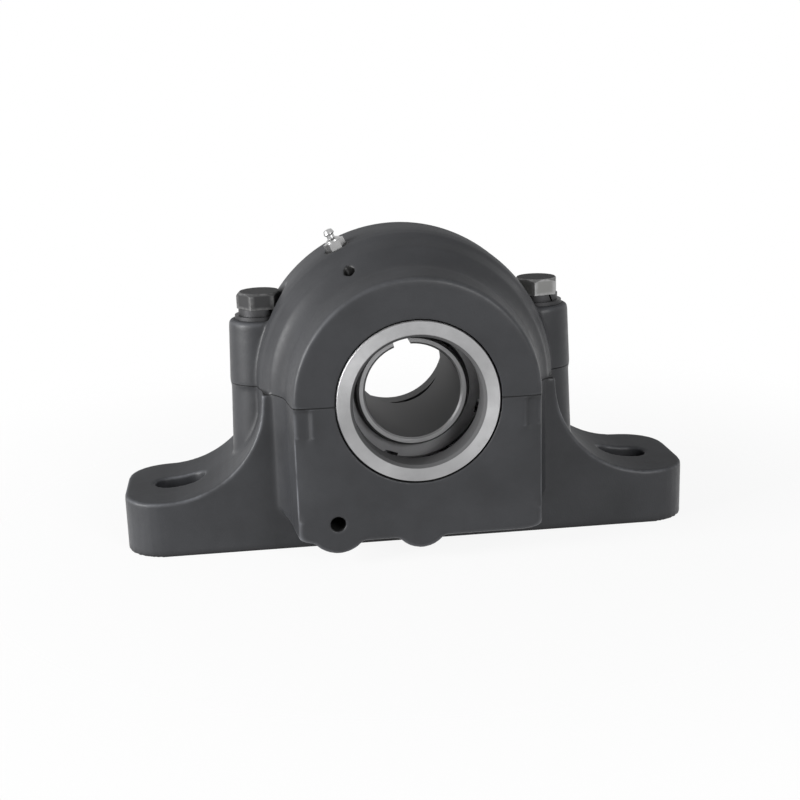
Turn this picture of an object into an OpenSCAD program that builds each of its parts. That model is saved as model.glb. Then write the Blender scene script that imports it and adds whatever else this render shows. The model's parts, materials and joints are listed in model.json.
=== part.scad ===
/* [Housing] */
// Height of the shaft axis above the floor
axis_h = 95.25; // [92:0.25:110]
// Half width from the middle to each machined end face
face_y = 78.6; // [76:0.2:90]
// How far the rim of the cap's end face stands outside the bearing
face_over = 0.8; // [0.4:0.1:2.4]
// Thickness of the crown over the bearing
crown_wall = 19.5; // [18:0.1:30]
// Half width of the cylindrical band on the crown
crown_band = 12; // [6:1:16]
// Distance from the middle to the edge of the raised crown
crown_edge = 26; // [25.5:0.5:28]
// Height of the step down from that edge to the shoulder
crown_step = 1.8; // [1:0.2:3]
// Half width of the base web and its feet
web_y = 41.2; // [38:0.2:46]
// Thickness of the cap over the bearing at the shoulder above the web
shoulder_wall = 12.3; // [10:0.1:15]
// Radius of the cove between end boss and shoulder
cove_r = 26; // [20:1:30]
// Rounding of the cast edges
cast_round = 2.5; // [1:0.5:4]
// Draft of the ears and pillars, in degrees
draft = 2.2; // [1:0.1:3]

/* [Feet] */
// Overall length of the base
base_len = 344; // [334:1:370]
// Thickness of the feet
foot_t = 33.25; // [26:0.25:38]
// Rounding of the foot corners seen from above
foot_corner_r = 25; // [12:1:30]
// Radius of the concave sweep from the foot up to the split
sweep_r = 60; // [50:1:62]
// How far outside the cap bolt the sweep meets the split
sweep_over = 2.5; // [0:0.5:6]
// Distance of each slot's centre from the end of its foot
slot_end = 32.7; // [30:0.1:38]
// Width of a mounting slot
slot_w = 19; // [16:0.5:24]
// End to end length of a mounting slot
slot_len = 30.6; // [28:0.2:36]
// Depth of the relief under the middle of the base
relief_h = 1.5; // [0.5:0.5:3]
// Width of the seating rim left in front of and behind that relief
relief_rim = 8; // [5:0.5:10]

/* [End boss of the base] */
// Half width of the raised pad below the split
pad_x = 61.2; // [56:0.2:64]
// Height of the pad's lower edge above the floor
pad_z = 40; // [34:0.25:44]
// Height of the pad above the boss face beside it
pad_step = 2; // [1:0.5:3]
// Height of the boss's underside above the floor
boss_z = 14; // [10:0.5:16]
// Half width of the boss just above its rounded lower corners
boss_x = 84; // [80:0.5:86]
// Rounding of those lower corners
boss_turn_r = 26; // [10:1:28]
// Radius of the drain boss
drain_boss_r = 18; // [14:0.5:19]
// Distance of the drain hole from the middle
drain_x = 48; // [40:0.5:50]
// Height of the drain hole above the floor
drain_z = 25.75; // [24:0.25:28]
// Radius of the tapped drain hole
drain_r = 4.3; // [3:0.1:5]
// Radius of the small boss under the shaft axis
toe_r = 16.2; // [12:0.1:18]

/* [Cap bolts] */
// Distance of each cap bolt's axis outside the bearing
bolt_gap = 14.5; // [14:0.5:18]
// Radius of the cap bolt shank
bolt_r = 7.94; // [6:0.1:8]
// Length of the cap bolt under its head
bolt_len = 82; // [72:1:86]
// Width of the bolt head across its flats
head_af = 24; // [20:0.5:26]
// Height of the bolt head
head_h = 9.8; // [8:0.2:13]
// Height of the cap ears above the split
ear_h = 38.2; // [32:0.1:40]
// Radius of the cap ears at their top
ear_r = 19; // [18:0.2:21]
// How much slimmer the base pillars are than the cap ears at the split
pillar_step = 0.8; // [0.2:0.2:3]
// Thickness of the flat washer
flat_washer_t = 2.2; // [2:0.1:4]
// Thickness of the split lock washer
lock_washer_t = 4; // [3:0.5:5]

/* [Bearing] */
// Outside diameter of the bearing
bearing_od = 140; // [138:0.5:141]
// Width of the bearing
bearing_w = 48; // [46:0.5:50]
// Bore of the bearing at the small end of its taper
bearing_bore = 65; // [63:0.5:66]
// Thickness of the outer ring at its middle
outer_wall = 8.5; // [8:0.1:9]
// Thickness of the inner ring under the middle of a raceway
inner_wall = 8.8; // [8.4:0.1:9.4]
// Length of a roller
roller_len = 17; // [15:0.5:17.5]
// Radius of the barrel curve along a roller
roller_crown = 60; // [50:1:60]
// Least gap between neighbouring rollers, for the cage bar
cage_bar = 2; // [1.6:0.1:3]
// Tilt of the roller axes
roller_tilt = 14.5; // [14:0.1:15]
// Running clearance between rollers and raceways
race_gap = 0.1; // [0.05:0.01:0.15]
// Width of each locating ring beside the bearing
locating_w = 10; // [6:0.5:12]

/* [Adapter sleeve and nut] */
// Diameter of the shaft
shaft_d = 55.56; // [50:0.01:57]
// Distance from the middle to the threaded end of the sleeve
sleeve_front = 52.3; // [49:0.1:56]
// Distance from the middle to the thick end of the sleeve
sleeve_rear = 28; // [26:0.1:40]
// Width of the slit along the sleeve
slit_w = 9.8; // [6:0.2:11]
// Angle of the slit from the top, towards the left
slit_angle = 11; // [0:1:30]
// Thickness of the lock nut
nut_w = 19; // [14:0.5:22]
// Thickness of the lock nut's ring outside its thread
nut_wall = 10.43; // [9:0.01:13]
// Thickness of the tab washer
tab_t = 2.4; // [1.5:0.1:3]
// Number of tabs round the washer
tab_n = 17; // [11:2:19]

/* [Seals] */
// Outside radius of the bright seal ring
seal_r = 46.6; // [44:0.1:49]
// Bore radius of the seal ring
seal_bore_r = 37; // [35:0.25:41]
// Width of the seal ring
seal_w = 15; // [12:0.5:18]
// Gap between seal ring and housing
seal_gap = 0.6; // [0.4:0.1:0.9]
// Radius of the flange that locks the ring in the housing
flange_r = 53; // [50:0.5:56]
// Width of that flange
flange_w = 5; // [3:0.5:6]

/* [Grease ports] */
// Angle of the grease ports from the top, towards the left
port_angle = 25.5; // [15:0.5:32]
// Distance of the grease fitting in front of the middle
fitting_y = 17; // [10:1:22]
// Width of the fitting's hexagon across its flats
fitting_af = 11; // [9:0.5:13]
// Height of the fitting above the crown
fitting_h = 12.5; // [10:0.5:16]
// Distance of the plain port in front of the middle
port_y = 45; // [44:0.5:50]
// Radius of the plain port
port_r = 3.1; // [2:0.1:4]

/* [Hidden] */
$fn = 96;
eps = 0.01;
far = 250;
taper = 24;
fit = 0.03;
clear = 0.3;
bearing_r = bearing_od / 2;
face_r = bearing_r + face_over;
shoulder_r = bearing_r + shoulder_wall;
crown_r = bearing_r + crown_wall;
bolt_x = bearing_r + bolt_gap;
sweep_x = bolt_x + sweep_over;
slot_spacing = base_len - 2 * slot_end;
seat_r = bearing_r + fit;
seat_y = bearing_w / 2 + locating_w + fit;
chamber_r = seat_r - 4;
wall_in = face_y - 20.6;
groove_y = face_y - 10;
groove_w = flange_w + 2 * clear;
boss_y = face_y - pad_step;
wall_draft = 2.5;
cove_y = face_y - 18.6;
cove_start_r = face_r + wall_draft;
cove_turn = acos(1 - (shoulder_r - cove_start_r) / cove_r);
shoulder_y = cove_y - cove_r * sin(cove_turn);
crown_arc = 60;
crown_turn = asin((crown_edge - crown_band) / crown_arc);
crown_edge_r = crown_r - crown_arc * (1 - cos(crown_turn));
step_foot = [crown_edge_r - crown_step, crown_edge + 2.5];
ridge_round = 1.5;
sweep_cz = foot_t + sweep_r;
sump_x = 56;
sump_z = drain_z - drain_r - 0.5;
ear_low_r = ear_r + ear_h * tan(draft);
pillar_r = ear_low_r - pillar_step;
pillar_low_r = pillar_r + (axis_h - foot_t) * tan(draft);
hole_gap = 0.8;
tap_gap = 0.06;
tap_depth = 50;
spot_r = head_af / 2 / cos(30) + 2.4;
head_z = axis_h + ear_h + flat_washer_t + lock_washer_t;
dowel_r = 3;
dowel_x = seat_r + 8.4;
dowel_y = 28;
dowel_len = 18;
pocket_r = 5;
sphere_r = bearing_r - outer_wall;
roller_r = (sphere_r - bearing_bore / 2 - inner_wall) / 2 - race_gap;
roller_d = sphere_r - race_gap - roller_r;
roller_n = floor(180 / asin((roller_r + cage_bar / 2) / (roller_d * cos(roller_tilt))));
race_d = roller_d - roller_r - race_gap;
race_arc = roller_crown + 3;
race_half = roller_len / 2 + 0.5;
pocket_gap = 0.3;
thread_r = bearing_bore / 2 - fit;
sleeve_bore_r = shaft_d / 2;
nut_r = thread_r + nut_wall;
nut_y = bearing_w / 2 + tab_t + 2 * fit;
nut_turn = slit_angle + 60;
nut_slot_w = 8;
nut_slot_d = 3.2;
bent_tab_len = 7;
tab_w = 5.4;
cord_r = 1.1;
cord_y = face_y - 5.2;
cord_seat_r = seal_r + seal_gap - 2 * cord_r;
fitting_seat_r = crown_r - 1.4;
fitting_spot_r = fitting_af / 2 / cos(30) + 1.2;
relief_x = (slot_spacing - slot_len) / 2 - 7;
relief_y = web_y - relief_rim;
pad_corner_r = 10;
boss_edge_r = 3;
neck_top = 58;
neck_low = 50;
lobe_len = 24;
toe_z = 24;
sump_in = seat_y + 4;
pocket_in = bolt_x - 10.5;
pocket_out = relief_x - 5;
pocket_mid = 4;
pocket_edge = web_y - 10.2;
pocket_h = 18;
fitting_tap_r = 4;
fitting_tap_len = 9;

// Unit vector along v
function unit(v) = v / norm(v);

// Points of an arc round c
function arc(c, r, a0, a1, n = 8) =
    [for (i = [0:n]) c + r * [cos(a0 + (a1 - a0) * i / n), sin(a0 + (a1 - a0) * i / n)]];

// Points that round the corner c between its neighbours p and q
function corner(p, c, q, r, n) =
    let (a = unit(p - c), b = unit(q - c), half = acos(a * b) / 2)
    let (o = c + unit(a + b) * r / sin(half))
    let (u = c + a * r / tan(half) - o, v = c + b * r / tan(half) - o)
    let (a0 = atan2(u[1], u[0]), a1 = atan2(v[1], v[0]))
    let (turn = (a1 - a0 + 540) % 360 - 180)
    arc(o, r, a0, a0 + turn, n);

// An outline whose points are [x, y, rounding radius]
function rounded(pts, n = 6) =
    let (m = len(pts))
    [for (i = [0:m - 1])
        let (c = [pts[i][0], pts[i][1]])
        let (p = [pts[(i + m - 1) % m][0], pts[(i + m - 1) % m][1]])
        let (q = [pts[(i + 1) % m][0], pts[(i + 1) % m][1]])
        each pts[i][2] > 0 ? corner(p, c, q, pts[i][2], n) : [c]];

// Outline of the same points mirrored across the x axis, for both sides of the middle
function both_sides(pts) =
    concat(pts, [for (i = [len(pts) - 1:-1:0]) [pts[i][0], -pts[i][1]]]);

// Outer profile of the housing as [radius, distance from the middle], face at the end
function shell_half(face) =
    let (edge = [crown_edge_r, crown_edge], ridge = [shoulder_r, shoulder_y])
    let (crown = arc([crown_r - crown_arc, crown_band], crown_arc, 0, crown_turn * 0.9, 2))
    let (cove = arc([cove_start_r + cove_r, cove_y], cove_r, 180 + cove_turn, 180, 8))
    concat(crown, corner(crown[2], edge, step_foot, ridge_round, 2),
        corner(edge, step_foot, ridge, ridge_round, 2),
        corner(step_foot, ridge, cove[1], ridge_round, 2), [for (i = [1:8]) cove[i]],
        arc([face_r - cast_round, face - cast_round], cast_round, 0, 90, 4));

function shell_outline(face) = both_sides(concat(shell_half(face), [[0, face]]));

// Places a child made along z onto the shaft axis, with z turned to +y
module about_axis() {
    translate([0, 0, axis_h]) rotate([-90, 0, 0]) children();
}

// Turns an [radius, y] outline round the shaft axis
module turned(pts) {
    about_axis() rotate_extrude() polygon(pts);
}

// A flat annular ring round the shaft axis between two distances along it
module axis_ring(r_in, r_out, y0, y1) {
    turned([[r_in, y0], [r_out, y0], [r_out, y1], [r_in, y1]]);
}

// Places a child made along +z so that it points outward at an angle left of the top
module at_clock(angle, y) {
    translate([0, y, axis_h]) rotate([0, -angle, 0]) children();
}

// Everything above the split
module above_split() {
    translate([-far, -far, axis_h]) cube([2 * far, 2 * far, far]);
}

// Bearing seat, grease chamber and seal grooves, cut into cap and base alike
module chamber() {
    turned(both_sides([[seat_r, 0], [seat_r, seat_y], [chamber_r, seat_y], [chamber_r, wall_in],
        [seal_r + seal_gap, wall_in], [seal_r + seal_gap, groove_y - groove_w / 2],
        [flange_r + 2 * clear, groove_y - groove_w / 2],
        [flange_r + 2 * clear, groove_y + groove_w / 2],
        [seal_r + seal_gap, groove_y + groove_w / 2], [seal_r + seal_gap, face_y + 1],
        [0, face_y + 1]]));
}

// Two dowel holes across the split, on opposite corners
module at_dowels() {
    for (s = [-1, 1]) translate([s * dowel_x, s * dowel_y, axis_h]) children();
}

module at_cap_bolts() {
    for (s = [-1, 1]) translate([s * bolt_x, 0, 0]) children();
}

module cap_ear() {
    rotate_extrude()
        polygon(rounded([[0, 0, 0], [ear_low_r, 0, 0], [ear_r, ear_h, cast_round], [0, ear_h, 0]]));
}

module cap() {
    color("dimgray") difference() {
        union() {
            intersection() {
                turned(shell_outline(face_y));
                above_split();
            }
            at_cap_bolts() translate([0, 0, axis_h]) cap_ear();
        }
        chamber();
        at_cap_bolts() translate([0, 0, axis_h - 1]) cylinder(r = bolt_r + hole_gap, h = ear_h + 2);
        at_cap_bolts() translate([0, 0, axis_h + ear_h]) cylinder(r = spot_r, h = far);
        at_dowels() cylinder(r = dowel_r + fit, h = dowel_len, center = true);
        at_clock(port_angle, -fitting_y) translate([0, 0, fitting_seat_r - fitting_tap_len - 1])
            cylinder(r = fitting_tap_r + tap_gap, h = far);
        at_clock(port_angle, -fitting_y) cylinder(r = fitting_tap_r / 2, h = crown_r);
        at_clock(port_angle, -fitting_y) translate([0, 0, fitting_seat_r])
            cylinder(r = fitting_spot_r, h = far);
        at_clock(port_angle, -port_y) cylinder(r = port_r, h = far);
    }
}

// Front view of one side of the base web, from the middle out over the foot
function web_half() = concat(
    [[0, 0], [base_len / 2, 0], [base_len / 2, foot_t]],
    arc([sweep_x + sweep_r, sweep_cz], sweep_r, 270, 180, 16),
    [[sweep_x, axis_h], [0, axis_h]]);

module web() {
    intersection() {
        for (s = [0, 1]) mirror([s, 0, 0])
            rotate([90, 0, 0]) linear_extrude(2 * web_y, center = true) polygon(web_half());
        linear_extrude(axis_h) polygon(rounded([
            [base_len / 2, web_y, foot_corner_r], [-base_len / 2, web_y, foot_corner_r],
            [-base_len / 2, -web_y, foot_corner_r], [base_len / 2, -web_y, foot_corner_r]], 8));
    }
}

// Middle of the base: the cap's plan outline carried down, with rounded lower corners
module end_bosses() {
    plan = shell_outline(boss_y);
    intersection() {
        linear_extrude(axis_h) union() {
            polygon(plan);
            mirror([1, 0, 0]) polygon(plan);
        }
        rotate([90, 0, 90]) linear_extrude(2 * far, center = true) polygon(rounded([
            [boss_y, axis_h, 0], [-boss_y, axis_h, 0],
            [-boss_y, boss_z, boss_edge_r], [boss_y, boss_z, boss_edge_r]]));
        rotate([90, 0, 0]) linear_extrude(2 * far, center = true) polygon(rounded([
            [crown_r + 1, axis_h, 0], [-crown_r - 1, axis_h, 0], [-crown_r - 1, neck_top, 0],
            [-boss_x, neck_low, 0], [-boss_x, boss_z, boss_turn_r],
            [boss_x, boss_z, boss_turn_r], [boss_x, neck_low, 0], [crown_r + 1, neck_top, 0]], 8));
    }
}

// Raised pads flush with the cap's end faces
module pads() {
    rotate([90, 0, 0]) linear_extrude(2 * face_y, center = true) polygon(rounded([
        [pad_x, axis_h, 0], [-pad_x, axis_h, 0],
        [-pad_x, pad_z, pad_corner_r], [pad_x, pad_z, pad_corner_r]]));
}

// Round boss of the drain and the small one under the axis, flush with the front wall
module front_toes() {
    translate([-drain_x, -boss_y, drain_z]) rotate([-90, 0, 0])
        cylinder(r = drain_boss_r, h = lobe_len);
    translate([0, -boss_y, toe_z]) rotate([-90, 0, 0]) cylinder(r = toe_r, h = lobe_len);
}

// Oil wells between the bearing and each end wall
module sumps() {
    for (s = [0, 1]) mirror([0, s, 0]) rotate([90, 0, 90])
        linear_extrude(2 * sump_x, center = true) polygon([
            [sump_in, axis_h + 1], [wall_in, axis_h + 1], [wall_in, sump_z], [sump_in, sump_z]]);
}

// Pockets cored out of the underside of the web
module underside_pockets() {
    for (sx = [0, 1]) for (sy = [0, 1]) mirror([sx, 0, 0]) mirror([0, sy, 0])
        translate([0, 0, -1]) linear_extrude(pocket_h + 1) polygon(rounded([
            [pocket_in, pocket_mid, pocket_r], [pocket_out, pocket_mid, pocket_r],
            [pocket_out, pocket_edge, pocket_r], [pocket_in, pocket_edge, pocket_r]]));
}

module mounting_slots() {
    for (s = [-1, 1]) translate([s * slot_spacing / 2, 0, -1]) linear_extrude(foot_t + sweep_r) {
        for (e = [-1, 1]) translate([e * (slot_len - slot_w) / 2, 0]) circle(d = slot_w);
        square([slot_len - slot_w, slot_w], center = true);
    }
}

module base() {
    color("dimgray") difference() {
        union() {
            web();
            end_bosses();
            pads();
            front_toes();
            at_cap_bolts() translate([0, 0, foot_t - 1])
                cylinder(r1 = pillar_low_r, r2 = pillar_r, h = axis_h - foot_t + 1);
        }
        chamber();
        intersection() {
            sumps();
            translate([0, 0, -far + axis_h + 1]) cube([2 * far, 2 * far, 2 * far], center = true);
        }
        mounting_slots();
        underside_pockets();
        translate([-relief_x, -relief_y, -1]) cube([2 * relief_x, 2 * relief_y, relief_h + 1]);
        at_cap_bolts() translate([0, 0, axis_h - tap_depth]) cylinder(r = bolt_r + tap_gap, h = far);
        at_dowels() cylinder(r = dowel_r + fit, h = dowel_len, center = true);
        translate([-drain_x, -far, drain_z]) rotate([-90, 0, 0]) cylinder(r = drain_r, h = far - wall_in + 1);
    }
}

module hexagon(af, h) {
    cylinder(r = af / 2 / cos(30), h = h, $fn = 6);
}

// Hex head with the round chamfer that such heads have on top
module bolt_head() {
    intersection() {
        hexagon(head_af, head_h);
        cylinder(r1 = head_af / 2 + head_h, r2 = head_af / 2 - 0.6, h = head_h + 0.3);
    }
}

module cap_bolts() {
    turn = [6.8, 14.3];
    color("slategray") for (i = [0, 1]) translate([(2 * i - 1) * bolt_x, 0, head_z]) {
        rotate([0, 0, turn[i]]) bolt_head();
        translate([0, 0, -bolt_len]) cylinder(r = bolt_r, h = bolt_len + eps);
    }
}

// Split spring washer with a slanted cut
module lock_washers() {
    color("gray") at_cap_bolts() translate([0, 0, head_z - lock_washer_t]) difference() {
        cylinder(r = bolt_r + 5, h = lock_washer_t);
        translate([0, 0, -1]) cylinder(r = bolt_r + 0.4, h = lock_washer_t + 2);
        rotate([0, 0, -60]) translate([bolt_r + 3, 0, lock_washer_t / 2]) rotate([25, 0, 0])
            cube([14, 1.2, 3 * lock_washer_t], center = true);
    }
}

module flat_washers() {
    color("gray") at_cap_bolts() translate([0, 0, axis_h + ear_h]) difference() {
        cylinder(r = spot_r - 1, h = flat_washer_t);
        translate([0, 0, -1]) cylinder(r = bolt_r + 0.6, h = flat_washer_t + 2);
    }
}

module dowel_pins() {
    color("silver") at_dowels() cylinder(r = dowel_r, h = dowel_len - 1, center = true);
}

// Straight ball-head grease fitting: taper thread, hexagon, neck and ball nose
module grease_fitting() {
    hex_h = fitting_h * 0.4;
    neck_r = 2.3;
    nose_r = 3.3;
    color("silver") at_clock(port_angle, -fitting_y) translate([0, 0, fitting_seat_r]) {
        hexagon(fitting_af, hex_h);
        translate([0, 0, -fitting_tap_len]) cylinder(r = fitting_tap_r, h = fitting_tap_len + eps);
        rotate_extrude() polygon(rounded([[0, hex_h - eps, 0], [fitting_af / 2 - 0.8, hex_h - eps, 0],
            [fitting_af / 2 - 1, hex_h + 1, 0.3], [neck_r, hex_h + 2.2, 0.3],
            [neck_r, fitting_h - 3.4, 0.2], [nose_r, fitting_h - 2.6, 0.5],
            [nose_r - 0.8, fitting_h - 0.4, 0.5], [1.2, fitting_h, 0], [0, fitting_h, 0]], 3));
    }
}

module outer_ring() {
    half = bearing_w / 2;
    edge = asin(half / sphere_r);
    color("lightsteelblue") turned(concat(
        [[bearing_r - 1.5, half], [bearing_r, half - 1.5], [bearing_r, 4], [bearing_r - 1.2, 3],
        [bearing_r - 1.2, -3], [bearing_r, -4], [bearing_r, 1.5 - half], [bearing_r - 1.5, -half]],
        arc([0, 0], sphere_r, -edge, edge, 24)));
}

// Point beside a roller: t along its axis, d outward from the bearing's centre
function row_pt(t, d) =
    [d * cos(roller_tilt) - t * sin(roller_tilt), d * sin(roller_tilt) + t * cos(roller_tilt)];

// Raceway of one row as seen in section, from the middle outward
function raceway() = [for (i = [0:8]) let (t = race_half * (i / 4 - 1))
    row_pt(t, race_d + race_arc - sqrt(race_arc * race_arc - t * t))];

module inner_ring() {
    half = bearing_w / 2;
    lip = row_pt(race_half, race_d + 2.4);
    side = concat(raceway(), [lip, [lip[0], half]]);
    color("lightsteelblue") turned(concat(
        [for (i = [len(side) - 1:-1:0]) [side[i][0], -side[i][1]]], side,
        [[bearing_bore / 2 + bearing_w / taper, half], [bearing_bore / 2, -half]]));
}

module roller() {
    steps = 8;
    half = roller_len / 2;
    rotate_extrude() polygon(concat([[0, -half]],
        [for (i = [0:steps]) let (t = half * (2 * i / steps - 1))
            [roller_r - roller_crown + sqrt(roller_crown * roller_crown - t * t), t]],
        [[0, half]]));
}

// Copies a child to every roller place of the rear row
module at_rollers() {
    p = row_pt(0, roller_d);
    for (i = [0:roller_n - 1]) rotate([0, 0, i * 360 / roller_n])
        translate([p[0], 0, p[1]]) rotate([0, -roller_tilt, 0]) children();
}

module roller_row(side) {
    color("white") about_axis() mirror([0, 0, side]) at_rollers() roller();
}

module rollers_front() {
    roller_row(1);
}

module rollers_rear() {
    roller_row(0);
}

// Comb cage: a ring beside the middle with bars between the rollers
module cage(side) {
    t_in = -roller_len / 2 - 2.7;
    t_out = roller_len / 2;
    color("goldenrod") about_axis() mirror([0, 0, side]) difference() {
        rotate_extrude() polygon([row_pt(t_in, roller_d + 1), row_pt(t_out, roller_d + 1),
            row_pt(t_out, roller_d + 5.8), row_pt(t_in, roller_d + 5.8)]);
        at_rollers() translate([0, 0, -roller_len / 2 - pocket_gap])
            cylinder(r = roller_r + pocket_gap, h = roller_len + 4);
    }
}

module cage_front() {
    cage(1);
}

module cage_rear() {
    cage(0);
}

// Loose ring that steers the rollers between the two rows
module guide_ring() {
    land = raceway()[0];
    r0 = land[0] + race_gap;
    e = row_pt(-roller_len / 2, roller_d);
    slope = tan(roller_tilt);
    r1 = e[0] - 2;
    y0 = e[1] + (r0 - e[0]) * slope - 0.25;
    y1 = e[1] + (r1 - e[0]) * slope - 0.25;
    color("tan") turned([[r0, -y0], [r1, -y1], [r1, y1], [r0, y0]]);
}

module locating_ring(side) {
    mirror([0, side, 0]) color("gray")
        axis_ring(seat_r - 8, seat_r - fit, bearing_w / 2 + fit, seat_y - fit);
}

module locating_ring_front() {
    locating_ring(1);
}

module locating_ring_rear() {
    locating_ring(0);
}

module adapter_sleeve() {
    half = bearing_w / 2;
    rear_r = thread_r + (half + sleeve_rear) / taper;
    color("silver") difference() {
        turned([[sleeve_bore_r, 1.2 - sleeve_front], [sleeve_bore_r + 1.2, -sleeve_front],
            [thread_r - 1.3, -sleeve_front], [thread_r, 1.3 - sleeve_front], [thread_r, -half],
            [rear_r, sleeve_rear], [sleeve_bore_r + 1, sleeve_rear], [sleeve_bore_r, sleeve_rear - 1]]);
        at_clock(slit_angle, 0) translate([-slit_w / 2, -far / 2, 0]) cube([slit_w, far, far / 2]);
    }
}

module lock_nut() {
    y0 = nut_y;
    y1 = nut_y + nut_w;
    bore = thread_r + fit;
    color("gray") mirror([0, 1, 0]) difference() {
        turned([[bore + 1.2, y0], [nut_r - 3, y0], [nut_r, y0 + 2], [nut_r, y1 - 1.5],
            [nut_r - 1.5, y1], [bore + 1.6, y1], [bore, y1 - 1.6], [bore, y0 + 1.2]]);
        for (i = [0:3]) at_clock(nut_turn + 90 * i, 0)
            translate([-nut_slot_w / 2, 0, nut_r - nut_slot_d]) cube([nut_slot_w, far, far / 5]);
    }
}

// Outline of the tab washer seen along the shaft, with its key for the sleeve's slit
module tab_outline() {
    key_w = slit_w - 0.8;
    difference() {
        union() {
            circle(r = nut_r - 2.5);
            for (i = [1:tab_n - 1]) rotate(-nut_turn - i * 360 / tab_n)
                translate([-tab_w / 2, -nut_r - 3.5]) square([tab_w, 7]);
            rotate(-nut_turn) translate([-tab_w / 2, -nut_r + 0.8]) square([tab_w, 4]);
        }
        difference() {
            circle(r = thread_r + 0.1);
            rotate(-slit_angle) translate([-key_w / 2, -far]) square([key_w, far - sleeve_bore_r - 1.5]);
        }
    }
}

// Washer with tabs round its rim, one of them bent into a nut slot
module tab_washer() {
    y0 = bearing_w / 2 + fit;
    bent_y = y0 + tab_t + bent_tab_len;
    color("silver") {
        about_axis() translate([0, 0, -y0 - tab_t]) linear_extrude(tab_t) tab_outline();
        at_clock(nut_turn, -bent_y) translate([-tab_w / 2, 0, nut_r - 2.8])
            cube([tab_w, bent_y - y0, 2]);
    }
}

// Bright ring held by its flange in the end wall, with a groove for its cord
module seal_ring(side) {
    y0 = face_y - seal_w;
    g0 = groove_y - flange_w / 2;
    g1 = groove_y + flange_w / 2;
    color("white") mirror([0, side, 0]) turned([
        [seal_bore_r, y0], [seal_r, y0], [seal_r, g0], [flange_r, g0], [flange_r, g1],
        [seal_r, g1], [seal_r, cord_y - cord_r], [cord_seat_r, cord_y - cord_r],
        [cord_seat_r, cord_y + cord_r], [seal_r, cord_y + cord_r], [seal_r, face_y - 0.6],
        [seal_r - 0.6, face_y], [seal_bore_r + 1.5, face_y], [seal_bore_r, face_y - 1.5]]);
}

module seal_ring_front() {
    seal_ring(1);
}

module seal_ring_rear() {
    seal_ring(0);
}

module seal_cord(side) {
    color("black") mirror([0, side, 0]) about_axis() rotate_extrude()
        translate([cord_seat_r + cord_r, cord_y]) circle(r = cord_r - fit, $fn = 32);
}

module seal_cord_front() {
    seal_cord(1);
}

module seal_cord_rear() {
    seal_cord(0);
}

base();
cap();
cap_bolts();
lock_washers();
flat_washers();
dowel_pins();
grease_fitting();
outer_ring();
inner_ring();
rollers_front();
rollers_rear();
cage_front();
cage_rear();
guide_ring();
locating_ring_front();
locating_ring_rear();
adapter_sleeve();
lock_nut();
tab_washer();
seal_ring_front();
seal_ring_rear();
seal_cord_front();
seal_cord_rear();
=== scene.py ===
import json
import math

import bmesh
import bpy
import numpy as np
from mathutils import Matrix, Vector


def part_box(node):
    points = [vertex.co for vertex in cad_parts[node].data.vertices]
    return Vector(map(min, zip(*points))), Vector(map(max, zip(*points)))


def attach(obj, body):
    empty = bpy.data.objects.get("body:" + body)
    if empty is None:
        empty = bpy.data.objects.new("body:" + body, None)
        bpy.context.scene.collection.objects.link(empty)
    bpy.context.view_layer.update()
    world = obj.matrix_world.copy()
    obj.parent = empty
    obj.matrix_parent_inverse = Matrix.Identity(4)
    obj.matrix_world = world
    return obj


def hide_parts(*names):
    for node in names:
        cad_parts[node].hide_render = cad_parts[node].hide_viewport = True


MM = 0.001
AXIS_H = 95.25 * MM

# The camera, fitted to the photograph; values in PX are its pixels
AXIS_H_PX = 154.6
FOCAL_PX = 1300.0
IMAGE_PX = 800.0
SENSOR_MM = 36.0
PX_M = AXIS_H / AXIS_H_PX
CAM_AZ, CAM_EL, CAM_ROLL = (math.radians(v) for v in (6.55, 14.84, -1.83))
CAM_SHIFT_X, CAM_SHIFT_Y = 1.8, 29.7
CLIP_NEAR, CLIP_FAR = 0.05, 20.0

# Where the cast surface stops: bores, seats, spot faces and drilled holes
SEAL_EDGE_R = 49 * MM
SEAT_EDGE_R = 71 * MM
WALL_IN = 58.8 * MM
BOLT_X = 84.5 * MM
BOLT_EDGE_R = 12 * MM
DRAIN_X, DRAIN_Z = 48 * MM, 25.75 * MM
DRAIN_EDGE_R, DRAIN_DARK_R = 6 * MM, 4.5 * MM
PORT_ANGLE = math.radians(25.5)
PORT_Y = 45 * MM
PORT_EDGE_R, PORT_DARK_R = 4.6 * MM, 3.3 * MM
FITTING_Y, SPOT_EDGE_R = 17 * MM, 8.4 * MM
FLOOR_EDGE = 1.2 * MM

# The casting's soft edges, and the stretch where the pad's step runs out
CRUDE_VOXEL, FINE_VOXEL = 1.2 * MM, 0.8 * MM
ROUNDING_ROUNDS, SETTLE_STEP = 13, 0.5
PAD_FADE_X, PAD_FADE_Y = 70 * MM, 72 * MM
PAD_FADE_Z = (28 * MM, 78 * MM)
PAD_FADE_RAMP, PAD_FADE_ROUNDS = 8 * MM, 16
SEAM = 0.2 * MM
SPLIT_NEAR, CAP_OVERLAP = 0.01 * MM, 0.5 * MM
SAME_POINT, SAME_LEVEL = 1e-7, 1e-6

# The paint; a pair says where an effect starts and where it is full
PAINT_COLOR = (0.032, 0.033, 0.036)
PAINT_SHEEN = 0.3
PATCH_DARK, PATCH_LIGHT = 0.86, 1.16
# Lighter edges of the paint are partly wear and partly painted highlight; creases and tight corners take
# a painted shade
WORN_AND_HIGHLIGHT_TIMES, SHADE_AND_JOINT_TIMES = 4, 0.3
OUTER_EDGE, INNER_EDGE = (0.508, 0.538), (0.49, 0.46)
GRAIN_SMOOTH, GRAIN_COARSE = 0.37, 0.47
LEVEL_ROUGH, LEVEL_FACE = 0.8, (0.35, 0.95)
SPLIT_LINE = (0.3 * MM, 0.9 * MM)
# Reach, range and samples of the ambient occlusion behind the painted shade in holes and corners
SHADE_REACH, SHADE_OPEN, SHADE_SAMPLES = 6 * MM, (0.4, 0.9), 8
# Near-black for the painted shade inside the holes
HOLE_SHADE = 0.002

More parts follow.
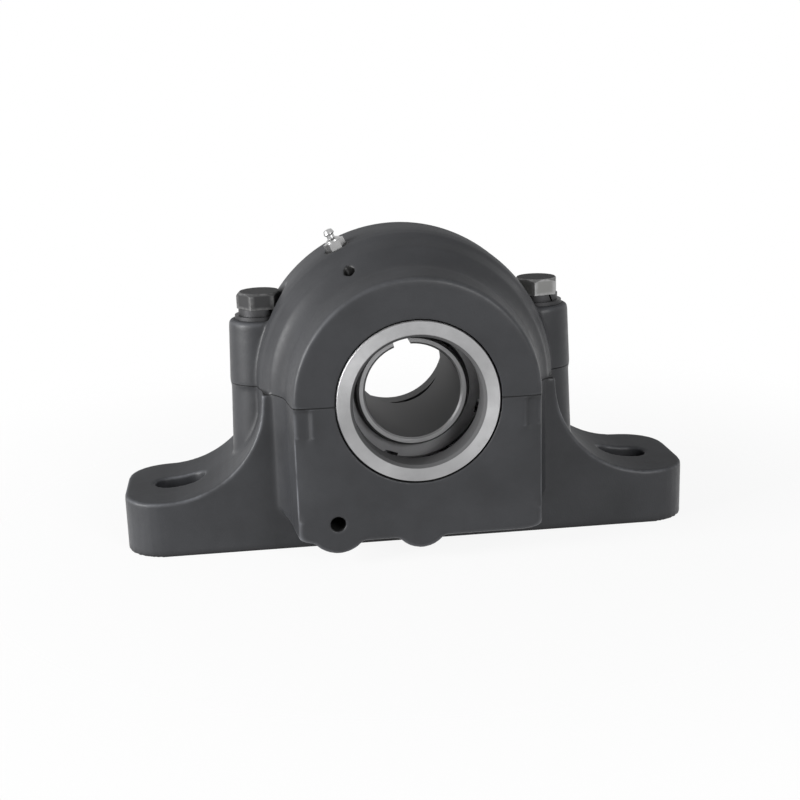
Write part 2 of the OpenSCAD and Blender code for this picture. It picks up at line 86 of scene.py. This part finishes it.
# Turned and forged steel
RING_SCALE, RING_WAVER, RING_DEPTH = 420, 0.5, 0.08 * MM
TONE_DARK = 0.82
ROUGH_LOW, ROUGH_HIGH = 0.85, 1.2
BORE_ROUGH, BORE_EDGE = 0.6, (0.1 * MM, 0.5 * MM)
SEAL_BORE_R = 38.4 * MM
TOP_ROUGH, TOP_FACE = 0.9, (0.6, 0.9)
HEAD_MID_DROP = 4.9 * MM
HEAD_CORNER, HEAD_RIM = (12.7 * MM, 13.5 * MM), (3.0 * MM, 4.4 * MM)
# Colours of the bolt heads' borders, partly wear and partly painted highlight; the second bolt's is
# lighter as painted light
HEAD_BORDER_FIRST, HEAD_BORDER_LIT_SECOND = 0.13, 0.34
EDGE_WIDTHS = {"cap_bolts": 0.8 * MM, "lock_washers": 0.3 * MM, "flat_washers": 0.3 * MM,
               "grease_fitting": 0.25 * MM, "lock_nut": 0.35 * MM, "tab_washer": 0.2 * MM}
EDGE_SEGMENTS, EDGE_ANGLE = 2, math.radians(35)

# The adapter sleeve and its thread
BORE_R = 27.78 * MM
THREAD_R = 32.47 * MM
THREAD_PITCH, THREAD_DEPTH, THREAD_STEP = 2.0 * MM, 0.9 * MM, 0.25 * MM
THREAD_SIDES = 240
PLAIN_END, RUN_OUT = 5.0 * MM, 1.5 * MM
LEAD_ROWS = np.array([0.45, 0.9, 1.3]) * MM
LEAD_IN, LEAD_CLEAR = LEAD_ROWS[-1], 1.4 * MM
FRONT_CHAMFER, REAR_CHAMFER = 1.2 * MM, 1.0 * MM
TAPER = 24
BEARING_HALF = 24 * MM
SLIT_HALF = 4.9 * MM
SLIT_ANGLE = math.radians(11)

# The studio
FLOOR_HALF = 3.0
FLOOR_COLOR, FLOOR_ROUGH = 0.9, 0.8
FLOOR_WHITE = 0.9
FLOOR_FADE = (0.16, 0.5)
WORLD_LIGHT = 0.18
WHITE = (1, 1, 1, 1)
LAMP_AIM = Vector((0, 0, 0.08))

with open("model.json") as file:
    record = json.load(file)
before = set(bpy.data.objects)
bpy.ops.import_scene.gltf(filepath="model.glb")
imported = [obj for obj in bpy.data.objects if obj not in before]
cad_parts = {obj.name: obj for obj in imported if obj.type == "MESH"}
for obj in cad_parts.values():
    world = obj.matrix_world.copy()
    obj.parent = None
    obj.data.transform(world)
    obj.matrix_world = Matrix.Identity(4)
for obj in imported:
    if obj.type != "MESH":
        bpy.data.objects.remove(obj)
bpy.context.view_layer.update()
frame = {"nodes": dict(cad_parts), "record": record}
nodes = frame["nodes"]
slot_of = {s["node"]: s["material_slot"] for s in frame["record"]["subparts"]}
body_of = {name: body for body, names in frame["record"]["behaviour"]["bodies"].items() for name in names}


def new_object(name, data):
    obj = bpy.data.objects.new(name, data)
    bpy.context.scene.collection.objects.link(obj)
    return obj


# Camera
def make_camera():
    ce, se = math.cos(CAM_EL), math.sin(CAM_EL)
    forward = Vector((math.sin(CAM_AZ) * ce, math.cos(CAM_AZ) * ce, -se))
    right = Vector((math.cos(CAM_AZ), -math.sin(CAM_AZ), 0.0))
    up = right.cross(forward)
    cr, sr = math.cos(CAM_ROLL), math.sin(CAM_ROLL)
    right, up = cr * right + sr * up, cr * up - sr * right
    data = bpy.data.cameras.new("camera")
    data.sensor_width = SENSOR_MM
    data.lens = SENSOR_MM * FOCAL_PX / IMAGE_PX
    data.clip_start, data.clip_end = CLIP_NEAR, CLIP_FAR
    cam = new_object("camera", data)
    place = (Vector((0, 0, AXIS_H)) - forward * FOCAL_PX * PX_M
             - right * CAM_SHIFT_X * PX_M - up * CAM_SHIFT_Y * PX_M)
    turn = Matrix((right, up, -forward)).transposed().to_4x4()
    cam.matrix_world = Matrix.Translation(place) @ turn
    bpy.context.scene.camera = cam


# Building blocks of materials
def grey(value):
    return (value, value, value)


def scaled(color, factor):
    return tuple(c * factor for c in color)


def feed(tree, value, socket):
    """Links the value to the socket, or sets it there when it is a number or a colour."""
    if isinstance(value, bpy.types.NodeSocket):
        tree.links.new(value, socket)
    elif isinstance(value, tuple) and len(value) == 3 and socket.type == "RGBA":
        socket.default_value = (*value, 1)
    else:
        socket.default_value = value


def new_material(name, color, rough, metallic):
    mat = bpy.data.materials.new(name)
    mat.use_nodes = True
    tree = mat.node_tree
    shader = tree.nodes["Principled BSDF"]
    shader.inputs["Base Color"].default_value = (*color, 1)
    shader.inputs["Roughness"].default_value = rough
    shader.inputs["Metallic"].default_value = metallic
    return mat, tree, shader


def object_place(tree):
    return tree.nodes.new("ShaderNodeTexCoord").outputs["Object"]


def one_axis(tree, vector, axis):
    parts = tree.nodes.new("ShaderNodeSeparateXYZ")
    tree.links.new(vector, parts.inputs["Vector"])
    return parts.outputs[axis]


def math_of(tree, operation, a, b):
    node = tree.nodes.new("ShaderNodeMath")
    node.operation = operation
    feed(tree, a, node.inputs[0])
    feed(tree, b, node.inputs[1])
    return node.outputs["Value"]


def span_of(tree, value, low, high, shape="LINEAR"):
    """0 where the value is low, 1 where it is high, and a rise between."""
    span = tree.nodes.new("ShaderNodeMapRange")
    span.interpolation_type = shape
    span.inputs["From Min"].default_value = low
    span.inputs["From Max"].default_value = high
    tree.links.new(value, span.inputs["Value"])
    return span.outputs["Result"]


def noise(tree, scale, detail, rough=0.55):
    tex = tree.nodes.new("ShaderNodeTexNoise")
    tex.inputs["Scale"].default_value = scale
    tex.inputs["Detail"].default_value = detail
    tex.inputs["Roughness"].default_value = rough
    tree.links.new(object_place(tree), tex.inputs["Vector"])
    return tex.outputs["Fac"]


def ramp(tree, value, first, last):
    """Blends between two colours; first and last are each a position and the colour there."""
    node = tree.nodes.new("ShaderNodeValToRGB")
    for element, (position, color) in zip(node.color_ramp.elements, (first, last)):
        element.position = position
        element.color = (*color, 1)
    tree.links.new(value, node.inputs["Fac"])
    return node.outputs["Color"]


def mix(tree, factor, a, b):
    node = tree.nodes.new("ShaderNodeMix")
    node.data_type = "RGBA"
    for socket, value in ((node.inputs[0], factor), (node.inputs[6], a), (node.inputs[7], b)):
        feed(tree, value, socket)
    return node.outputs[2]


def bump(tree, shader, height, strength, distance, base=None):
    node = tree.nodes.new("ShaderNodeBump")
    node.inputs["Strength"].default_value = strength
    node.inputs["Distance"].default_value = distance
    tree.links.new(height, node.inputs["Height"])
    if base is not None:
        tree.links.new(base, node.inputs["Normal"])
    tree.links.new(node.outputs["Normal"], shader.inputs["Normal"])
    return node.outputs["Normal"]


def stored(tree, name):
    """A share from 0 to 1 kept at each point of the casting."""
    node = tree.nodes.new("ShaderNodeAttribute")
    node.attribute_name = name
    return node.outputs["Fac"]


def edge_mask(tree, low, high):
    """Picks out sharp edges by the mesh's own curvature, which is 0.5 on a flat face."""
    geo = tree.nodes.new("ShaderNodeNewGeometry")
    return span_of(tree, geo.outputs["Pointiness"], low, high)


def facing_up(tree, low, high):
    """0 on upright faces, rising to 1 on level upper ones: there dust and oil dull the finish, and on the
    bolt heads the colour is darkened as painted shade.
    """
    geo = tree.nodes.new("ShaderNodeNewGeometry")
    return span_of(tree, one_axis(tree, geo.outputs["Normal"], "Z"), low, high)


def length_of(tree, vector):
    length = tree.nodes.new("ShaderNodeVectorMath")
    length.operation = "LENGTH"
    tree.links.new(vector, length.inputs[0])
    return length.outputs["Value"]


def distance_from(tree, point, axes, mirrored=False):
    """Distance of a surface point from the given one along the axes marked 1.

    When mirrored, the two sides of the object count as one.
    """
    place = object_place(tree)
    if mirrored:
        both = tree.nodes.new("ShaderNodeVectorMath")
        both.operation = "ABSOLUTE"
        tree.links.new(place, both.inputs[0])
        place = both.outputs["Vector"]
    across = tree.nodes.new("ShaderNodeVectorMath")
    across.operation = "MULTIPLY_ADD"
    across.inputs[1].default_value = axes
    across.inputs[2].default_value = [-p * a for p, a in zip(point, axes)]
    tree.links.new(place, across.inputs[0])
    return length_of(tree, across.outputs["Vector"])


def clear_of_split(tree):
    """0 in the thin joint between cap and base, 1 away from it."""
    return span_of(tree, distance_from(tree, (0, 0, AXIS_H), (0, 0, 1)), *SPLIT_LINE)


def open_to_light(tree):
    """0 in holes and tight corners, which are darkened as painted shade by ambient occlusion, 1 on open
    surfaces.
    """
    node = tree.nodes.new("ShaderNodeAmbientOcclusion")
    node.samples = SHADE_SAMPLES
    node.inputs["Distance"].default_value = SHADE_REACH
    return span_of(tree, node.outputs["AO"], *SHADE_OPEN)


def right_half(tree):
    """1 on the side of the second cap bolt, 0 on the side of the first."""
    return math_of(tree, "GREATER_THAN", one_axis(tree, object_place(tree), "X"), 0.0)


def head_border(tree):
    """1 along the borders of the bolt heads' flats, where wear takes off the dark finish and a lighter
    colour is painted highlight for the glint of their edges.
    """
    middle = (BOLT_X, 0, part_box("cap_bolts")[1].z - HEAD_MID_DROP)
    corner = span_of(tree, distance_from(tree, middle, (1, 1, 0), mirrored=True), *HEAD_CORNER)
    rim = span_of(tree, distance_from(tree, middle, (0, 0, 1)), *HEAD_RIM)
    wear_and_glint_breakup = ramp(tree, noise(tree, scale=350, detail=4), (0.35, grey(0.4)), (0.6, grey(1.0)))
    return math_of(tree, "MULTIPLY", math_of(tree, "MAXIMUM", corner, rim), wear_and_glint_breakup)


# Materials
def cast_paint(name, color):
    """Charcoal paint over sand-cast iron: fine grain, slow waviness, lighter edges that are partly wear
    and partly painted highlight, painted shade in creases, tight corners and holes, and a dark joint
    line.
    """
    mat, tree, shader = new_material(name, color, rough=0.5, metallic=0.0)
    shader.inputs["Specular IOR Level"].default_value = PAINT_SHEEN
    # A darker tone for painted shade in creases and corners, also used for the dark joint line
    shade_and_joint_tone = scaled(color, SHADE_AND_JOINT_TIMES)
    patches = ramp(tree, noise(tree, scale=28, detail=5),
                   (0.35, scaled(color, PATCH_DARK)), (0.65, scaled(color, PATCH_LIGHT)))
    # Lighter edges, partly wear and partly painted highlight for the glint of rounded edges; the noise
    # breaks them up
    wear_and_glint_breakup = ramp(tree, noise(tree, scale=60, detail=4), (0.35, grey(0.15)), (0.65, grey(1.0)))
    wear_and_highlight_edge = math_of(tree, "MULTIPLY", edge_mask(tree, *OUTER_EDGE), wear_and_glint_breakup)
    cast_wear_and_highlight = math_of(tree, "MULTIPLY", wear_and_highlight_edge, stored(tree, "as_cast"))
    edged = mix(tree, cast_wear_and_highlight, patches, scaled(color, WORN_AND_HIGHLIGHT_TIMES))
    # Painted shade: concave edges and creases are darkened
    crease_shaded = mix(tree, edge_mask(tree, *INNER_EDGE), edged, shade_and_joint_tone)
    # Painted shade by ambient occlusion in holes and tight corners, and a dark line along the joint
    # between cap and base
    unshaded_off_joint = math_of(tree, "MULTIPLY", open_to_light(tree), clear_of_split(tree))
    shaded_and_joint = mix(tree, unshaded_off_joint, shade_and_joint_tone, crease_shaded)
    # Painted shade: the insides of the drain and port holes are near-black
    hole_shaded = mix(tree, stored(tree, "in_hole"), shaded_and_joint, grey(HOLE_SHADE))
    tree.links.new(hole_shaded, shader.inputs["Base Color"])
    grain = ramp(tree, noise(tree, scale=210, detail=4),
                 (0.3, grey(GRAIN_SMOOTH)), (0.7, grey(GRAIN_COARSE)))
    rough = mix(tree, facing_up(tree, *LEVEL_FACE), grain, grey(LEVEL_ROUGH))
    tree.links.new(rough, shader.inputs["Roughness"])
    waves = bump(tree, shader, noise(tree, scale=85, detail=3), strength=0.22, distance=0.9 * MM)
    bump(tree, shader, noise(tree, scale=900, detail=5, rough=0.6), strength=0.3, distance=0.22 * MM,
         base=waves)
    return mat


def turned_rings(tree):
    """Fine rings round the shaft axis."""
    mapping = tree.nodes.new("ShaderNodeMapping")
    mapping.inputs["Location"].default_value = (0, 0, -AXIS_H)
    tree.links.new(object_place(tree), mapping.inputs["Vector"])
    wave = tree.nodes.new("ShaderNodeTexWave")
    wave.wave_type = "RINGS"
    wave.rings_direction = "Y"
    wave.inputs["Scale"].default_value = RING_SCALE
    wave.inputs["Distortion"].default_value = RING_WAVER
    tree.links.new(mapping.outputs["Vector"], wave.inputs["Vector"])
    return wave.outputs["Fac"]


def machined(name, color, rough, rings, metallic=1.0, brushed=0.0, bore=None, second=None):
    """Turned steel: fine rings round the shaft axis, and a slow change of tone.

    bore gives the radius, colour, metallic share and specular level of a bore whose darker colour is
    painted shade; second is a lighter colour for the second cap bolt, painted light for the lamp that
    falls on it more than on the first.
    """
    mat, tree, shader = new_material(name, color, rough, metallic)
    dark = scaled(color, TONE_DARK)
    tone = ramp(tree, noise(tree, scale=60, detail=4), (0.3, dark), (0.7, color))
    spread = ramp(tree, noise(tree, scale=260, detail=4),
                  (0.3, grey(rough * ROUGH_LOW)), (0.7, grey(rough * ROUGH_HIGH)))
    if bore is not None:
        radius = distance_from(tree, (0, 0, AXIS_H), (1, 0, 1))
        outside = span_of(tree, radius, *(bore["radius"] + edge for edge in BORE_EDGE))
        # Painted shade: the bore takes a darker colour than the outside
        tone = mix(tree, outside, bore["color"], tone)
        spread = mix(tree, outside, grey(BORE_ROUGH), spread)
        shine = mix(tree, outside, grey(bore["metallic"]), grey(metallic))
        tree.links.new(shine, shader.inputs["Metallic"])
        shader.inputs["Specular IOR Level"].default_value = bore["sheen"]
    if second is not None:
        # Painted light: the second cap bolt takes a lighter colour
        tone = mix(tree, right_half(tree), tone, second)
        # Head borders: partly wear, partly painted highlight; lighter still on the second bolt as painted
        # light
        border_wear_and_highlight = mix(tree, right_half(tree), grey(HEAD_BORDER_FIRST), grey(HEAD_BORDER_LIT_SECOND))
        tone = mix(tree, head_border(tree), tone, border_wear_and_highlight)
        # Painted shade: the level tops of the bolt heads are darker
        tone = mix(tree, facing_up(tree, *TOP_FACE), tone, dark)
        spread = mix(tree, facing_up(tree, *TOP_FACE), spread, grey(TOP_ROUGH))
    tree.links.new(tone, shader.inputs["Base Color"])
    tree.links.new(spread, shader.inputs["Roughness"])
    if brushed:
        shader.inputs["Anisotropic"].default_value = brushed
        tangent = tree.nodes.new("ShaderNodeTangent")
        tangent.direction_type = "RADIAL"
        tangent.axis = "Y"
        tree.links.new(tangent.outputs["Tangent"], shader.inputs["Tangent"])
    bump(tree, shader, turned_rings(tree), strength=rings, distance=RING_DEPTH)
    return mat


def rubber(name):
    mat, tree, shader = new_material(name, grey(0.03), rough=0.65, metallic=0.0)
    tone = ramp(tree, noise(tree, scale=300, detail=4), (0.3, grey(0.022)), (0.7, grey(0.04)))
    tree.links.new(tone, shader.inputs["Base Color"])
    bump(tree, shader, noise(tree, scale=1400, detail=3), strength=0.2, distance=0.1 * MM)
    return mat


# The bores' darker colours are painted shade
SLEEVE_BORE = {"radius": BORE_R, "color": (0.06, 0.06, 0.062), "metallic": 0.4, "sheen": 0.5}
SEAL_BORE = {"radius": SEAL_BORE_R, "color": (0.1, 0.1, 0.102), "metallic": 0.0, "sheen": 0.1}
MATERIALS = {
    "cast": cast_paint("cast_paint", PAINT_COLOR),
    # The second cap bolt's lighter colour is painted light
    "bolt_steel": machined("bolt_steel", (0.036, 0.036, 0.037), rough=0.45, rings=0.1, metallic=0.6,
                           second=(0.2, 0.2, 0.195)),
    "washer_steel": machined("washer_steel", (0.06, 0.06, 0.062), rough=0.5, rings=0.15),
    "bright_steel": machined("bright_steel", (0.385, 0.385, 0.39), rough=0.36, rings=0.3, brushed=0.8,
                             bore=SEAL_BORE),
    "fitting_steel": machined("fitting_steel", grey(0.42), rough=0.28, rings=0.1),
    "bearing_steel": machined("bearing_steel", (0.5, 0.5, 0.51), rough=0.25, rings=0.15),
    "roller_steel": machined("roller_steel", (0.55, 0.55, 0.57), rough=0.18, rings=0.05),
    "cage_steel": machined("cage_steel", (0.1, 0.1, 0.105), rough=0.45, rings=0.2),
    "sleeve_steel": machined("sleeve_steel", (0.35, 0.35, 0.355), rough=0.4, rings=0.3, metallic=0.7,
                             bore=SLEEVE_BORE),
    "nut_steel": machined("nut_steel", (0.4, 0.4, 0.41), rough=0.45, rings=0.25, metallic=0.4,
                          brushed=0.6),
    "cord_rubber": rubber("cord_rubber"),
}
# Lighter materials for the rounded edges of steel parts: partly wear, partly painted highlight
WORN_AND_HIGHLIGHT_EDGES = {
    "bolt_steel": machined("bolt_edge", grey(0.3), rough=0.35, rings=0.1, metallic=0.2),
    "washer_steel": machined("washer_edge", grey(0.16), rough=0.4, rings=0.1, metallic=0.3),
    "fitting_steel": machined("fitting_edge", (0.75, 0.75, 0.74), rough=0.22, rings=0.1),
    "nut_steel": machined("nut_edge", grey(0.5), rough=0.35, rings=0.1),
}


def dress_nodes():
    """Gives every node its material."""
    for name, obj in nodes.items():
        obj.data.materials.clear()
        obj.data.materials.append(MATERIALS[slot_of[name]])


# Cast pieces
def points_of(mesh):
    co = np.empty(len(mesh.vertices) * 3)
    mesh.vertices.foreach_get("co", co)
    return co.reshape(-1, 3)


def within(a, b, radius):
    """Which points lie in a circle, by their distances from its middle along two axes."""
    return np.hypot(a, b) < radius


def seen_down_port(co):
    """Each point's place across the slanted line of the ports, and whether it is on their side."""
    x, z = co[:, 0], co[:, 2] - AXIS_H
    side, up = math.sin(PORT_ANGLE), math.cos(PORT_ANGLE)
    return x * up + z * side, z * up - x * side > 0


def near_machined(co):
    """How far each point may be softened: 0 on bored, drilled and machined surfaces, 1 on cast ones."""
    x, y, z = co[:, 0], co[:, 1], co[:, 2]
    across, outside = seen_down_port(co)
    free = np.ones(len(co))
    free[within(x, z - AXIS_H, SEAL_EDGE_R)] = 0
    free[within(x, z - AXIS_H, SEAT_EDGE_R) & (abs(y) < WALL_IN)] = 0
    free[within(abs(x) - BOLT_X, y, BOLT_EDGE_R)] = 0
    free[within(x + DRAIN_X, z - DRAIN_Z, DRAIN_EDGE_R) & (y < 0)] = 0
    free[within(across, y + PORT_Y, PORT_EDGE_R) & outside] = 0
    free[within(across, y + FITTING_Y, SPOT_EDGE_R) & outside] = 0
    free[z < FLOOR_EDGE] = 0
    return free


def in_hole(co):
    """1 inside the open drain and port holes, which are painted near-black as shade."""
    x, y, z = co[:, 0], co[:, 1], co[:, 2]
    across, outside = seen_down_port(co)
    port = within(across, y + PORT_Y, PORT_DARK_R) & outside
    drain = within(x + DRAIN_X, z - DRAIN_Z, DRAIN_DARK_R) & (y < 0)
    return (port | drain).astype(float)


def pad_fade(co):
    """1 on the end walls below the pad's visible stretch, where its step runs out into the wall."""
    z = co[:, 2]
    low, high = (z - PAD_FADE_Z[0]) / PAD_FADE_RAMP, (PAD_FADE_Z[1] - z) / PAD_FADE_RAMP
    share = np.clip(np.minimum(low, high), 0, 1)
    share[(abs(co[:, 0]) > PAD_FADE_X) | (abs(co[:, 1]) < PAD_FADE_Y)] = 0
    return share


def settle(co, edges, free, rounds):
    """Moves each point towards the middle of its neighbours, as far as free lets it."""
    moving = free > 0
    used = moving[edges[0]] | moving[edges[1]]
    a, b = edges[0][used], edges[1][used]
    names = np.unique(np.concatenate([a, b]))
    place = np.zeros(len(co), np.int64)
    place[names] = np.arange(len(names))
    a, b = place[a], place[b]
    count = np.bincount(a, minlength=len(names)) + np.bincount(b, minlength=len(names))
    part, share = co[names], (free[names] * SETTLE_STEP)[:, None]
    for _ in range(rounds):
        near = np.stack([np.bincount(a, part[b, i], len(names)) + np.bincount(b, part[a, i], len(names))
                         for i in range(3)], 1) / count[:, None]
        part += share * (near - part)
    co[names] = part


def soften(mesh, rounds):
    """Rounds the cast edges and keeps, at each point, how cast it is and whether it is in a hole."""
    co = points_of(mesh)
    edges = np.empty(len(mesh.edges) * 2, np.int64)
    mesh.edges.foreach_get("vertices", edges)
    edges = edges[0::2], edges[1::2]
    free = near_machined(co)
    settle(co, edges, free, rounds)
    settle(co, edges, free * pad_fade(co), rounds * PAD_FADE_ROUNDS)
    mesh.vertices.foreach_set("co", co.ravel())
    for name, share in (("as_cast", free), ("in_hole", in_hole(co))):
        mesh.attributes.new(name, "FLOAT", "POINT").data.foreach_set("value", share)
    mesh.update()


def mesh_from(bm, name):
    mesh = bpy.data.meshes.new(name)
    bm.to_mesh(mesh)
    bm.free()
    return mesh


def whole_casting(voxel, rounds):
    """Cap and base as the one form that they make together, with a casting's soft edges."""
    bm = bmesh.new()
    for node, shift in (("base", 0.0), ("cap", -CAP_OVERLAP)):
        mesh = nodes[node].data.copy()
        co = points_of(mesh)
        co[abs(co[:, 2] - AXIS_H) < SPLIT_NEAR, 2] += shift
        mesh.vertices.foreach_set("co", co.ravel())
        bm.from_mesh(mesh)
    piece = new_object("casting", mesh_from(bm, "casting"))
    remesh = piece.modifiers.new("remesh", "REMESH")
    remesh.mode = "VOXEL"
    remesh.voxel_size = voxel
    graph = bpy.context.evaluated_depsgraph_get()
    final = bpy.data.meshes.new_from_object(piece.evaluated_get(graph))
    bpy.data.objects.remove(piece)
    soften(final, rounds)
    return final


def half_casting(whole, node, up):
    """The part of the casting above or below the split, closed by a flat face there."""
    bm = bmesh.new()
    bm.from_mesh(whole)
    level = AXIS_H + up * SEAM / 2
    bmesh.ops.bisect_plane(bm, geom=bm.verts[:] + bm.edges[:] + bm.faces[:], dist=SAME_POINT,
                           plane_co=(0, 0, level), plane_no=(0, 0, -up), clear_outer=True)
    rim = [e for e in bm.edges if e.is_boundary]
    bmesh.ops.triangle_fill(bm, edges=rim, use_beauty=True, use_dissolve=False, normal=(0, 0, -up))
    for face in bm.faces:
        face.smooth = abs(face.calc_center_median().z - level) > SAME_LEVEL
    mesh = mesh_from(bm, node + "_casting")
    mesh.materials.append(MATERIALS["cast"])
    piece = new_object(node + "_casting", mesh)
    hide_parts(node)
    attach(piece, "housing")


def make_castings():
    voxel = FINE_VOXEL
    whole = whole_casting(voxel, round(ROUNDING_ROUNDS * (FINE_VOXEL / voxel) ** 2))
    half_casting(whole, "base", -1)
    half_casting(whole, "cap", 1)


# Turned and forged pieces
def crisp_copy(node, width):
    """A copy of the node with narrow rounded edges for the light to catch, their faces in a lighter
    material that is partly wear and partly painted highlight; it stands for the node.
    """
    mesh = nodes[node].data.copy()
    mesh.materials.append(WORN_AND_HIGHLIGHT_EDGES[slot_of[node]])
    for poly in mesh.polygons:
        poly.use_smooth = True
    piece = new_object(node + "_edged", mesh)
    bevel = piece.modifiers.new("edges", "BEVEL")
    bevel.material = len(mesh.materials) - 1
    bevel.width = width
    bevel.segments = EDGE_SEGMENTS
    bevel.limit_method = "ANGLE"
    bevel.angle_limit = EDGE_ANGLE
    bevel.harden_normals = True
    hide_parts(node)
    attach(piece, body_of[node])


def outer_radius(y, turn, front):
    """The sleeve's outer radius at y, counted towards the front, and at a share of a turn."""
    if y < BEARING_HALF - SAME_LEVEL:
        return THREAD_R + (BEARING_HALF - y) / TAPER
    rim = THREAD_R - max(0.0, LEAD_IN - (front - y))
    if BEARING_HALF + RUN_OUT < y < front - PLAIN_END:
        phase = (y / THREAD_PITCH + turn) % 1.0
        return min(rim, THREAD_R - THREAD_DEPTH * abs(2 * phase - 1))
    return rim


def sleeve_rows(turns, front, rear):
    """Rows of radius and place along the shaft: down the outside, then back through the bore."""
    lead = np.arange(front - THREAD_STEP / 2, BEARING_HALF, -THREAD_STEP)
    ys = np.concatenate([[front], front - LEAD_ROWS, lead[lead < front - LEAD_CLEAR],
                         [BEARING_HALF, 0.0, -rear]])
    rows = [[(outer_radius(y, turn, front), -y) for turn in turns] for y in ys]
    bore = [(BORE_R + REAR_CHAMFER, rear), (BORE_R, rear - REAR_CHAMFER), (BORE_R, 0.0),
            (BORE_R, FRONT_CHAMFER - front), (BORE_R + FRONT_CHAMFER, -front)]
    return rows + [[point] * len(turns) for point in bore]


def threaded_sleeve():
    """The slit sleeve with its helical thread in front."""
    lo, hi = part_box("adapter_sleeve")
    turns = np.linspace(0.0, 1.0, THREAD_SIDES + 1)
    bm = bmesh.new()
    grid = []
    for row in sleeve_rows(turns, -lo.y, hi.y):
        line = []
        for turn, (r, y) in zip(turns, row):
            gap = math.asin(SLIT_HALF / r)
            a = gap + turn * (2 * math.pi - 2 * gap) - SLIT_ANGLE
            line.append(bm.verts.new((r * math.sin(a), y, AXIS_H + r * math.cos(a))))
        grid.append(line)
    for line, following in zip(grid, grid[1:] + grid[:1]):
        for j in range(THREAD_SIDES):
            bm.faces.new((line[j], following[j], following[j + 1], line[j + 1]))
    for end in (0, THREAD_SIDES):
        bm.faces.new([line[end] for line in grid])
    bmesh.ops.recalc_face_normals(bm, faces=bm.faces)
    mesh = mesh_from(bm, "sleeve_threaded")
    mesh.materials.append(MATERIALS["sleeve_steel"])
    piece = new_object("sleeve_threaded", mesh)
    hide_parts("adapter_sleeve")
    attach(piece, "shaft_set")


# Stage and light
def seen_rays(tree):
    """1 for rays that show the background: seen directly, in a reflection or through glass."""
    path = tree.nodes.new("ShaderNodeLightPath")
    direct = path.outputs["Is Camera Ray"]
    mirrored = math_of(tree, "MAXIMUM", direct, path.outputs["Is Glossy Ray"])
    return math_of(tree, "MAXIMUM", mirrored, path.outputs["Is Transmission Ray"])


def blend(tree, share, first, second):
    node = tree.nodes.new("ShaderNodeMixShader")
    tree.links.new(share, node.inputs["Fac"])
    tree.links.new(first, node.inputs[1])
    tree.links.new(second, node.inputs[2])
    return node.outputs["Shader"]


def far_from_middle(tree):
    """0 near the object, rising to 1 where the floor has faded into the background."""
    return span_of(tree, length_of(tree, object_place(tree)), *FLOOR_FADE, shape="SMOOTHSTEP")


def floor_material():
    """A pale floor that looks nearly white, keeps the shadow and is clear further out."""
    mat, tree, shader = new_material("floor_white", grey(FLOOR_COLOR), FLOOR_ROUGH, metallic=0.0)
    white = tree.nodes.new("ShaderNodeEmission")
    white.inputs["Color"].default_value = WHITE
    white.inputs["Strength"].default_value = 1.0
    clear = tree.nodes.new("ShaderNodeBsdfTransparent")
    share = math_of(tree, "MULTIPLY", seen_rays(tree), FLOOR_WHITE)
    lifted = blend(tree, share, shader.outputs["BSDF"], white.outputs["Emission"])
    faded = blend(tree, far_from_middle(tree), lifted, clear.outputs["BSDF"])
    tree.links.new(faded, tree.nodes["Material Output"].inputs["Surface"])
    return mat


def make_floor():
    half = FLOOR_HALF
    mesh = bpy.data.meshes.new("floor")
    mesh.from_pydata([(-half, -half, 0), (half, -half, 0), (half, half, 0), (-half, half, 0)],
                     [], [(0, 1, 2, 3)])
    mesh.materials.append(floor_material())
    floor = new_object("floor", mesh)


def make_world():
    """Soft light all round, seen as plain white."""
    world = bpy.data.worlds.new("studio")
    bpy.context.scene.world = world
    world.use_nodes = True
    tree = world.node_tree
    light = tree.nodes["Background"]
    light.inputs["Color"].default_value = WHITE
    light.inputs["Strength"].default_value = WORLD_LIGHT
    seen = tree.nodes.new("ShaderNodeBackground")
    seen.inputs["Color"].default_value = WHITE
    seen.inputs["Strength"].default_value = 1.0
    both = blend(tree, seen_rays(tree), light.outputs["Background"], seen.outputs["Background"])
    tree.links.new(both, tree.nodes["World Output"].inputs["Surface"])


def lamp(name, place, size, watts):
    data = bpy.data.lights.new(name, "AREA")
    data.size = size
    data.energy = watts
    obj = new_object(name, data)
    obj.location = place
    obj.rotation_mode = "QUATERNION"
    obj.rotation_quaternion = (LAMP_AIM - Vector(place)).to_track_quat("-Z", "Y")


dress_nodes()
make_castings()
threaded_sleeve()
for name, width in EDGE_WIDTHS.items():
    crisp_copy(name, width)
make_camera()
make_floor()
make_world()
lamp("key", place=(-1.45, -0.45, 0.45), size=0.8, watts=34)
lamp("fill", place=(0.62, -1.33, 0.6), size=0.5, watts=10)
bpy.context.scene.view_settings.view_transform = "Standard"
